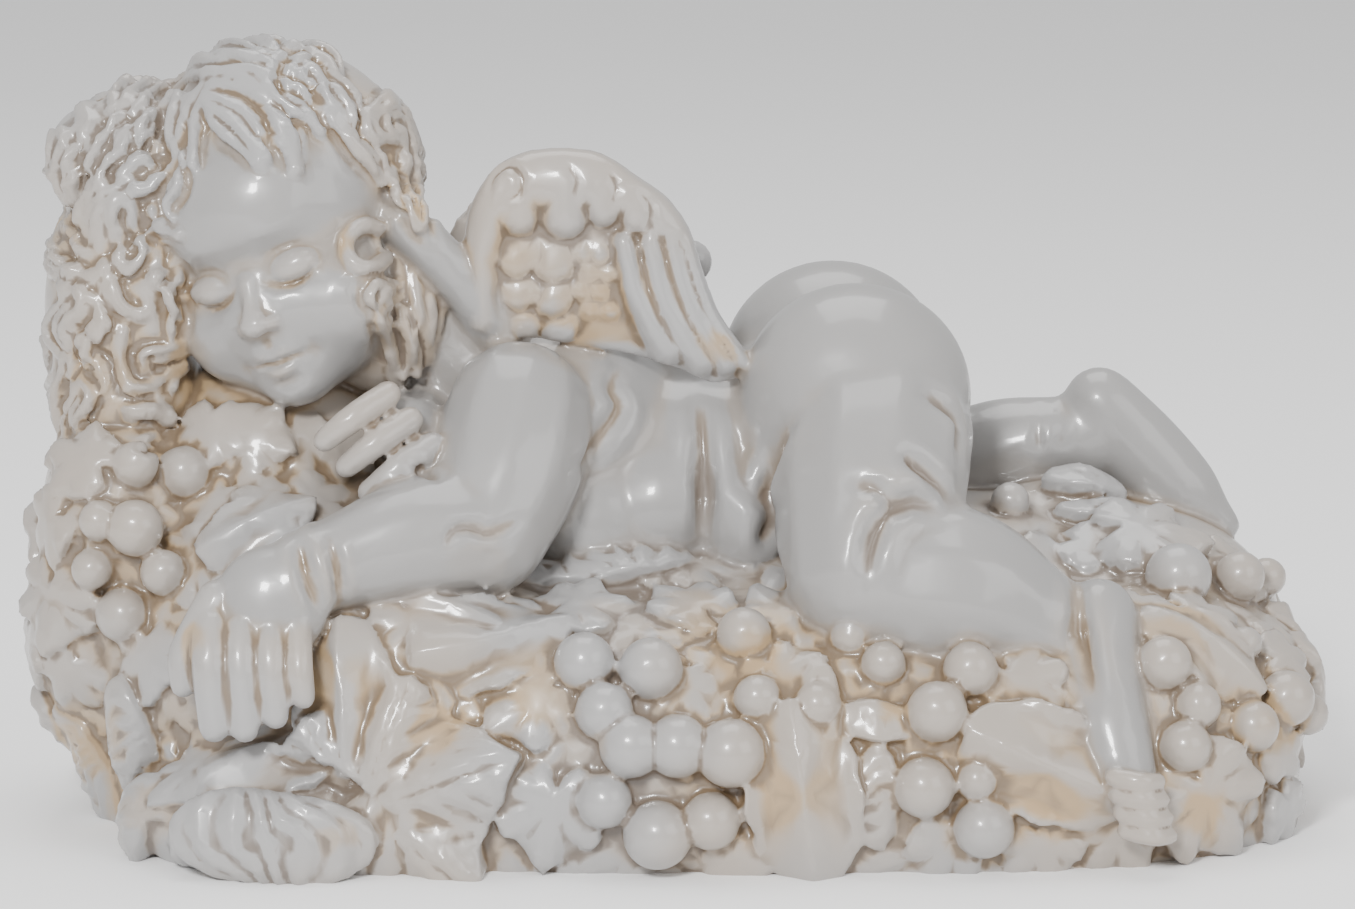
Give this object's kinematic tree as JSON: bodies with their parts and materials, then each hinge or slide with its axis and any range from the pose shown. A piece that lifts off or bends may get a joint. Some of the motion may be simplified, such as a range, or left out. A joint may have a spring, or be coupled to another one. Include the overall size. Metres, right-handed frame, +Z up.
{
  "type": "angel figurine",
  "caption": "Ceramic cherub asleep face down on a bed of vine leaves and grapes, cast in one piece, with upright wings and a flat underside.",
  "frame": {"origin": "on the flat underside, under the middle of the bed of leaves", "axes": "+X from the head towards the feet, along the length; -Y is the side the face looks to; +Z up from the table"},
  "size_m": [0.2953, 0.158, 0.1773],
  "materials": {
    "glaze": "glossy pale ivory-grey glaze with ochre pooled in the hollows"
  },
  "bodies": {
    "root": {"angel_figurine": "glaze"}
  },
  "joints": []
}
